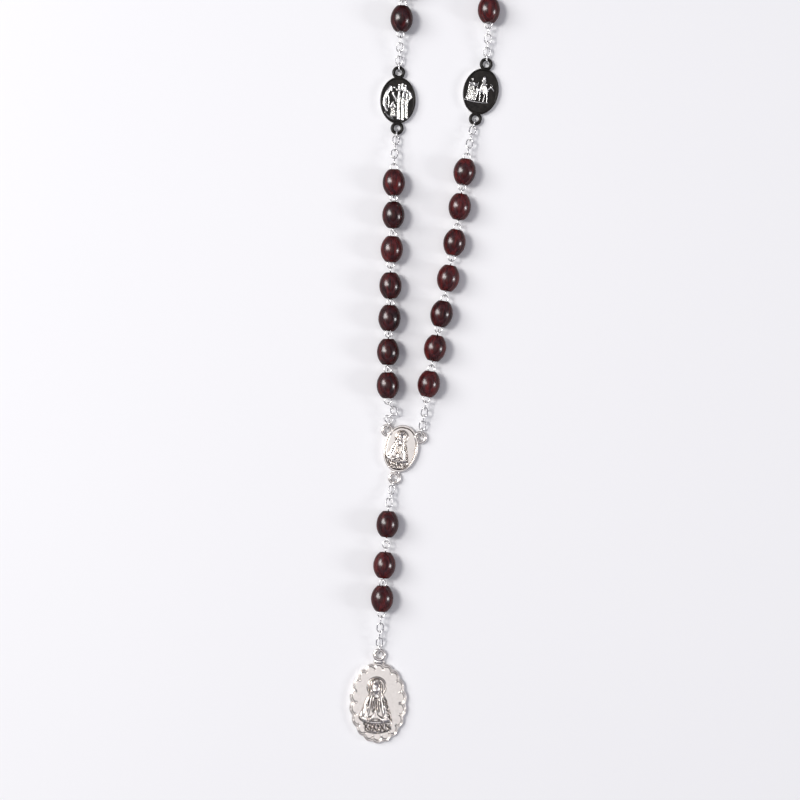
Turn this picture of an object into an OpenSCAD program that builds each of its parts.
// Chaplet of seven groups of seven barrel beads on eye pins, laid out flat.
// Millimetres, +Z up, the table is z = 0, and the strand runs along +Y.

/* [Beads] */
// Length of a bead along its bore
bead_length = 7.9; // [7.6:0.1:8]
// Largest diameter of a bead
bead_d = 6.8; // [6.4:0.1:6.9]
// Diameter of the flat face at each end of a bead
bead_end_d = 3.2; // [3.1:0.1:3.8]
// Bore of a bead
bore_d = 0.6; // [0.5:0.05:0.8]

/* [Pins, rings and links] */
// Wire of the eyes at both ends of a pin
eye_wire = 0.4; // [0.36:0.01:0.4]
// Wire of a pin's straight shank
shank_d = 0.36; // [0.3:0.01:0.38]
// Outer diameter of an eye and of a jump ring
eye_od = 2.5; // [2.4:0.05:2.5]
// Wire of a chain link
link_wire = 0.42; // [0.36:0.01:0.44]
// Outer length of a chain link
link_length = 3.2; // [3.1:0.05:3.3]
// Outer width of a chain link
link_width = 2.3; // [2.2:0.05:2.4]

/* [Medals] */
// Width of a station medal
station_w = 10.8; // [10:0.2:12]
// Height of a station medal's oval
station_h = 14.2; // [13.8:0.2:14.4]
// Width of the centre medal
centre_w = 10.5; // [9.8:0.1:11]
// Height of the centre medal's oval
centre_h = 14.6; // [14.2:0.1:14.8]
// Width of the end medal
end_w = 17.6; // [16:0.2:19]
// Height of the end medal's oval
end_h = 24.8; // [22:0.2:25]
// Thickness of a medal at its rim
medal_t = 1.8; // [1.6:0.1:2]
// Depth of the field inside the rim
field_depth = 0.45; // [0.3:0.05:0.6]
// Wire-like section of a medal's lug
lug_wire = 1; // [0.9:0.05:1]
// Outer diameter of a lug
lug_od = 4; // [3.8:0.1:4.2]

/* [Hidden] */
$fn = 48;

// Heights of the two kinds of centre line above the table
bead_z = bead_d / 2;
lug_z = 1.2;

// Every item of the strand is a rigid piece with a wire at each end.
// Its length is taken between the middles of those two wires.
eye_r = (eye_od - eye_wire) / 2;
link_r = (link_width - link_wire) / 2;
lug_r = (lug_od - lug_wire) / 2;
eye_sink = 0.3;
pin_reach = bead_length / 2 + 2 * eye_r - eye_sink;
lug_offset = station_h / 2 + 1.4;
LINK = 0;
PIN = 1;
RING = 2;
MEDAL = 3;
item_length = [link_length - link_wire, 2 * pin_reach, 2 * eye_r, 2 * (lug_offset + lug_r)];

// How far the end wire of one item lies inside the loop of the item before it
eye_slack = 0.5;
lug_slack = 1.25;
link_slack = 0.74;
taut = 0.46;
// Height of a link above the middle of the lug that it goes through
hook_rise = 0.12;

// Headings turn clockwise from +Y, seen from above, in degrees.
function dir(heading, rise) = [sin(heading) * cos(rise), cos(heading) * cos(rise), sin(rise)];

// A length of chain between an eye and a lug: a list of [kind, heading, rise, slack].
// up is 1 where it climbs from a lug to an eye and -1 where it drops to a lug.
function chain_reach(n, slack) =
    n * item_length[LINK] - (n - 1) * slack - lug_slack - (n % 2) * eye_slack;
function chain_items(headings, up, slack = link_slack) =
    let (n = len(headings), rise = up * asin((bead_z - lug_z - hook_rise) / chain_reach(n, slack)))
    [for (i = [0:n - 1])
        [LINK, headings[i], rise, i > 0 ? slack : up > 0 ? lug_slack : eye_slack]];
function straight(n, heading, bend = 0) = [for (i = [0:n - 1]) heading + bend * (i - (n - 1) / 2)];

// Seven pins in a row, the first hooked to a chain and the others to each other
function pin_items(headings, slacks) =
    [for (i = [0:len(headings) - 1]) [PIN, headings[i], 0, i > 0 ? slacks[i - 1] : eye_slack]];
function sweep(n, first, last, sway) =
    [for (i = [0:n - 1]) first + (last - first) * i / (n - 1) + sway * sin(137 * i)];
function usual_slacks(base) = [for (i = [0:5]) base + 0.15 * sin(100 * i)];
function medal_item(heading) = [[MEDAL, heading, 0, lug_slack]];

// Walks along a list of items from a flat lug and gives [near end, far end, is it flat] of each.
// Flat and upright items alternate, and two that meet turn about the wires that they share.
function item_near(item, flat, point, before) =
    let (p = point - item[3] * dir(flat ? item[1] : before[1], flat ? before[2] : item[2]))
    item[0] == LINK ? p + [0, 0, before[0] == MEDAL ? hook_rise : 0] :
    [p.x, p.y, item[0] == MEDAL ? lug_z : bead_z];
function walk(items, point, before, flat = false, i = 0) =
    i == len(items) ? [] :
    let (item = items[i],
         near = item_near(item, flat, point, before),
         far = near + item_length[item[0]] * dir(item[1], item[2]))
    concat([[near, far, flat]], walk(items, far, item, !flat, i + 1));

// Puts the middle of the whole piece's outline at X = 0, Y = 0; the walk starts at the centre medal.
origin_shift = [-15.9, -143.3, 0];
centre_lean = 12;
centre_lug_x = 5.15;
centre_lug_y = 4.6;
centre_lug_drop = 9.2;
function in_centre(p) = let (a = -centre_lean)
    [p.x * cos(a) - p.y * sin(a), p.x * sin(a) + p.y * cos(a), lug_z];
function centre_lug(p, heading) = in_centre(p) + lug_r * dir(heading, 0);
function started(items, p) = walk(items, centre_lug(p, items[0][1]), [MEDAL, items[0][1], 0, 0]);

// The left side of the loop, from the centre medal up to the arch at the top
left_items = concat(
    chain_items([15, -44, 54, -9, -42], 1, 0.8),
    pin_items([0, 1, 4, 0, 4.5, 1, 0.5], [1.35, 1.23, 1.6, 0.46, 1.1, 1.6]),
    chain_items(straight(5, 5, 1), -1, 0.6), medal_item(1.5), chain_items(straight(5, 3), 1, 0.78),
    pin_items(sweep(7, 4, -6, 1.5), usual_slacks(0.85)),
    chain_items(straight(5, -8, 1), -1), medal_item(-7), chain_items(straight(5, -6, -1), 1),
    pin_items(sweep(7, -7, -3, 2), usual_slacks(0.64)),
    chain_items(straight(5, -2, 1), -1), medal_item(0), chain_items(straight(5, 6, 3), 1),
    pin_items(sweep(7, 24, 156, 2), usual_slacks(0.8)),
    chain_items(straight(5, 174, 3), -1));
left = started(left_items, [-centre_lug_x, centre_lug_y]);

// The right side, from the centre medal up to the fourth station medal
right_items = concat(
    chain_items(straight(5, 8.5, -1), 1, 0.68),
    pin_items([9.5, 10.5, 11, 10, 10, 7, 9], [taut, 0.9, taut, 0.5, 0.5, 0.8]),
    chain_items(straight(5, 13, 1), -1, 0.62), medal_item(11), chain_items(straight(5, 3), 1),
    pin_items(sweep(7, 1.5, 8, 1.5), usual_slacks(1.15)),
    chain_items(straight(5, 7, -1), -1), medal_item(5), chain_items(straight(5, 6), 1),
    pin_items(sweep(7, 8, 3, 2), usual_slacks(1.15)),
    chain_items(straight(5, 1, -1), -1), medal_item(0));
right = started(right_items, [centre_lug_x, centre_lug_y]);

// The pendant, from the centre medal down to the end medal
pendant_items = concat(
    chain_items([194, 188, 194, 186], 1, 0.74),
    [[PIN, 184, 0, eye_slack], [RING, 185, 0, 0.55], [PIN, 184.5, 0, 0.55], [PIN, 183, 0, 1.3]],
    chain_items(straight(5, 183, -1), -1, taut));
pendant = started(pendant_items, [0, -centre_lug_drop]);
end_heading = 181.5;
end_lug_offset = end_h / 2 + 2.2;
end_rim = pendant[12][1] - lug_slack * dir(end_heading, pendant_items[12][2]);
end_centre = [end_rim.x, end_rim.y, 0] + (end_lug_offset + lug_r) * dir(end_heading, 0);

// Index of the first pin of a group, and of the medal beyond it, on its side of the loop
function group_strand(g) = g <= 4 ? left : right;
function group_items(g) = g <= 4 ? left_items : right_items;
function group_first(g) = 18 * (g <= 4 ? g - 1 : 7 - g) + 5;
function station_group(s) = s <= 3 ? s : s + 1;
function upper_group(s) = s == 4 ? 4 : station_group(s);

// ---- Beads, pins and links, each drawn from its first wire along +Y ----

barrel_sag = (bead_d - bead_end_d) / 2;
barrel_r = (pow(bead_length / 2, 2) + pow(barrel_sag, 2)) / (2 * barrel_sag);
sink_d = 2.5;
sink_depth = 0.8;

// Barrel with flat ends, a bore and a countersink that lets the eye in a little
module bead() {
    translate([0, pin_reach, 0]) rotate([-90, 0, 0]) rotate_extrude() difference() {
        intersection() {
            translate([bead_d / 2 - barrel_r, 0]) circle(r = barrel_r, $fn = 96);
            translate([0, -bead_length / 2]) square([bead_d, bead_length]);
        }
        translate([-1, -bead_length]) square([1 + bore_d / 2, 2 * bead_length]);
        for (m = [0, 1]) mirror([0, m]) translate([0, bead_length / 2 - sink_depth])
            polygon([[0, 0], [bore_d / 2, 0], [sink_d / 2, sink_depth],
                     [sink_d / 2, 1], [0, 1]]);
    }
}

module wire_ring(r, wire) {
    rotate_extrude() translate([r, 0]) circle(d = wire);
}

// Straight shank with a closed eye at each end
module pin() {
    for (y = [eye_r, item_length[PIN] - eye_r]) translate([0, y, 0]) wire_ring(eye_r, eye_wire);
    translate([0, 2 * eye_r, 0]) rotate([-90, 0, 0])
        cylinder(h = item_length[PIN] - 4 * eye_r, d = shank_d);
}

module jump_ring() {
    translate([0, eye_r, 0]) wire_ring(eye_r, eye_wire);
}

// Closed link with two round ends and two straight sides
module link() {
    far = item_length[LINK] - link_r;
    translate([0, link_r, 0]) rotate_extrude(angle = 180, start = 180)
        translate([link_r, 0]) circle(d = link_wire);
    translate([0, far, 0]) rotate_extrude(angle = 180, start = 0)
        translate([link_r, 0]) circle(d = link_wire);
    for (x = [-link_r, link_r]) translate([x, link_r, 0]) rotate([-90, 0, 0])
        cylinder(h = far - link_r, d = link_wire);
}

// Moves a piece drawn along +Y to its place in the strand
module at(strand, items, i) {
    translate(strand[i][0] + origin_shift) rotate([0, 0, -items[i][1]])
        rotate([items[i][2], 0, 0]) rotate([0, strand[i][2] ? 0 : 90, 0]) children();
}

module links(strand, items, first, n = 5) {
    color("silver") for (i = [first:first + n - 1]) at(strand, items, i) link();
}
module beads(strand, items, first, n) {
    color("#4a1512") for (i = [first:first + n - 1]) at(strand, items, i) bead();
}
module pins(strand, items, first, n) {
    color("silver") for (i = [first:first + n - 1]) at(strand, items, i) pin();
}

// ---- Medals, each drawn upright about its own centre, back face on z = 0 ----

rim_w = 0.7;
edge = 0.3;

module oval(w, h) {
    scale([w / 2, h / 2]) circle(r = 1, $fn = 96);
}

// Oval plate with a raised rim, softened at both edges by a narrower foot and lip.
// Whatever is given as children is joined to it before the field is sunk.
module oval_plate(w, h, t) {
    difference() {
        union() {
            linear_extrude(t) oval(w - 2 * edge, h - 2 * edge);
            translate([0, 0, edge]) linear_extrude(t - 2 * edge) oval(w, h);
            children();
        }
        translate([0, 0, t - field_depth]) linear_extrude(1) oval(w - 2 * rim_w, h - 2 * rim_w);
    }
}

module lug(x, y) {
    translate([x, y, lug_z]) rotate([0, 0, atan2(y, x)]) wire_ring(lug_r, lug_wire);
}

// Standing robed figure in low relief, feet at the origin
module robed(h, w = 0) {
    b = w > 0 ? w : 0.36 * h;
    linear_extrude(field_depth) polygon([[-b / 2, 0], [b / 2, 0], [0.4 * b, 0.4 * h],
        [0.46 * b, 0.72 * h], [0.16 * b, 0.8 * h], [-0.16 * b, 0.8 * h],
        [-0.46 * b, 0.72 * h], [-0.4 * b, 0.4 * h]]);
    translate([0, 0.88 * h, 0]) cylinder(h = field_depth + 0.1, d = 0.2 * h);
}

module ground(w, y, h) {
    intersection() {
        linear_extrude(field_depth) oval(station_w - 2 * rim_w, station_h - 2 * rim_w);
        translate([-w / 2, y - 6, -0.1]) cube([w, 6 + h, 1]);
    }
}

// A straight bar in relief from a to b
module bar(a, b, w) {
    d = b - a;
    translate([a.x, a.y, 0]) rotate([0, 0, -atan2(d.x, d.y)])
        translate([-w / 2, 0, 0]) cube([w, norm(d), field_depth]);
}

// Four standing figures side by side
module scene_1() {
    for (i = [0:3]) translate([-2.7 + 1.8 * i, -4 + 0.5 * (i % 2), 0]) robed(7.6 - 0.5 * (i % 2));
}
// A kneeling figure before a standing one, under a star
module scene_2() {
    translate([1.3, -4, 0]) robed(8);
    translate([-2, -4, 0]) robed(5, 2.6);
    translate([-2, 3.6, 0]) cylinder(h = field_depth, r = 0.7, $fn = 8);
}
// A figure carrying a tall cross
module scene_3() {
    translate([-0.6, -4, 0]) robed(7);
    bar([1.6, -4], [1.6, 4.6], 0.8);
    bar([-0.4, 2.6], [3.6, 2.6], 0.8);
}
// Two figures facing each other across a column
module scene_4() {
    for (x = [-2.4, 2.4]) translate([x, -4, 0]) robed(7.4);
    bar([0, -4], [0, 3.4], 1);
}
// A seated figure with a child on the lap
module scene_5() {
    translate([0, -4, 0]) robed(8.6, 5);
    translate([0.9, -2.4, field_depth - 0.1]) scale([1, 1, 0.4]) robed(3.4);
}
// A walking figure beside a figure seated on a donkey
module scene_6() {
    translate([-3.1, -4, 0]) robed(5.4);
    translate([1, -1.6, 0]) robed(5.6, 2.2);
    translate([1, -2.4, 0]) scale([2.3, 1, 1]) cylinder(h = field_depth, r = 1.1);
    translate([-1.3, -1, 0]) cylinder(h = field_depth, r = 0.6);
    for (x = [-0.8, 0.1, 1.9, 2.7]) bar([x, -4.6], [x, -2.6], 0.5);
}

module station_medal(s) {
    g = station_group(s);
    i = group_first(g) + 12;
    translate(group_strand(g)[i][0] + origin_shift - [0, 0, lug_z])
        rotate([0, 0, -group_items(g)[i][1]]) translate([0, lug_offset + lug_r, 0])
        color("#3a362e") {
            oval_plate(station_w, station_h, medal_t);
            for (y = [-lug_offset, lug_offset]) lug(0, y);
            translate([0, 0, medal_t - field_depth]) {
                ground(20, -4.2, 0.4);
                if (s == 1) scene_1();
                if (s == 2) scene_2();
                if (s == 3) scene_3();
                if (s == 4) scene_4();
                if (s == 5) scene_5();
                if (s == 6) scene_6();
            }
        }
}

// Veiled half-length figure with a halo and joined hands, the base at the origin
module bust(h) {
    translate([0, 0.72 * h, 0]) cylinder(h = 0.5 * field_depth, d = 0.5 * h);
    linear_extrude(field_depth) polygon([[-0.4 * h, 0], [0.4 * h, 0], [0.38 * h, 0.28 * h],
        [0.26 * h, 0.46 * h], [0.12 * h, 0.54 * h], [-0.12 * h, 0.54 * h],
        [-0.26 * h, 0.46 * h], [-0.38 * h, 0.28 * h]]);
    translate([0, 0.7 * h, 0]) scale([0.8, 1, 1]) cylinder(h = field_depth + 0.15, d = 0.34 * h);
    translate([0, 0.3 * h, 0]) scale([0.6, 1, 1]) cylinder(h = field_depth + 0.15, d = 0.22 * h);
}

module centre_medal() {
    translate(origin_shift) rotate([0, 0, -centre_lean]) color("#cfcac4") {
        oval_plate(centre_w, centre_h, medal_t) {
            for (x = [-centre_lug_x, centre_lug_x]) lug(x, centre_lug_y);
            lug(0, -centre_lug_drop);
            translate([0, -centre_h / 2 - 0.05, edge]) linear_extrude(medal_t - 2 * edge)
                oval(2.8, 1.3);
        }
        translate([0, -4.6, medal_t - field_depth]) bust(9.4);
    }
}

// Outline of the end medal: an oval with shallow lobes
lobes = 18;
lobe_depth = 0.45;
function lobed(w, h, depth) = [for (i = [0:179]) let (a = 2 * i,
    d = depth * (1 - abs(cos(lobes * a / 2))))
    [(w / 2 - d) * sin(a), (h / 2 - d) * cos(a)]];

module end_medal() {
    translate(end_centre + origin_shift) rotate([0, 0, 180 - end_heading]) color("#cfcac4") {
        difference() {
            union() {
                linear_extrude(medal_t)
                    polygon(lobed(end_w - 2 * edge, end_h - 2 * edge, lobe_depth));
                translate([0, 0, edge]) linear_extrude(medal_t - 2 * edge)
                    polygon(lobed(end_w, end_h, lobe_depth));
            }
            translate([0, 0, medal_t - 0.2]) linear_extrude(1) oval(end_w - 2, end_h - 2);
            translate([0, 0, medal_t - field_depth]) linear_extrude(1)
                oval(end_w - 5, end_h - 5);
        }
        for (i = [0:lobes - 1]) let (a = (i + 0.5) * 360 / lobes)
            translate([(end_w / 2 - 1.75) * sin(a), (end_h / 2 - 1.75) * cos(a), medal_t - 0.4])
                cylinder(h = 0.4, d = 0.9);
        lug(0, end_lug_offset);
        translate([0, end_h / 2 + 0.1, 0.3]) linear_extrude(medal_t - 0.6) oval(3.6, 1.8);
        translate([0, -8, medal_t - field_depth]) bust(16);
    }
}

// ---- One line for each node ----

centre_medal();
links(left, left_items, 0);  // left_chain
links(right, right_items, 0);  // right_chain
links(pendant, pendant_items, 0, 4);  // pendant_chain
color("silver") at(pendant, pendant_items, 5) jump_ring();  // pendant_ring
for (i = [1:3]) {
    pins(pendant, pendant_items, [4, 6, 7][i - 1], 1);
    beads(pendant, pendant_items, [4, 6, 7][i - 1], 1);
}
links(pendant, pendant_items, 8);  // end_chain
end_medal();
for (g = [1:7]) {
    beads(group_strand(g), group_items(g), group_first(g), 4);
    pins(group_strand(g), group_items(g), group_first(g), 4);
    beads(group_strand(g), group_items(g), group_first(g) + 4, 3);
    pins(group_strand(g), group_items(g), group_first(g) + 4, 3);
}
for (s = [1:6]) {
    station_medal(s);
    links(group_strand(station_group(s)), group_items(station_group(s)),
            group_first(station_group(s)) + 7);
    links(group_strand(upper_group(s)), group_items(upper_group(s)),
            group_first(upper_group(s)) + (s == 4 ? 7 : 13));
}
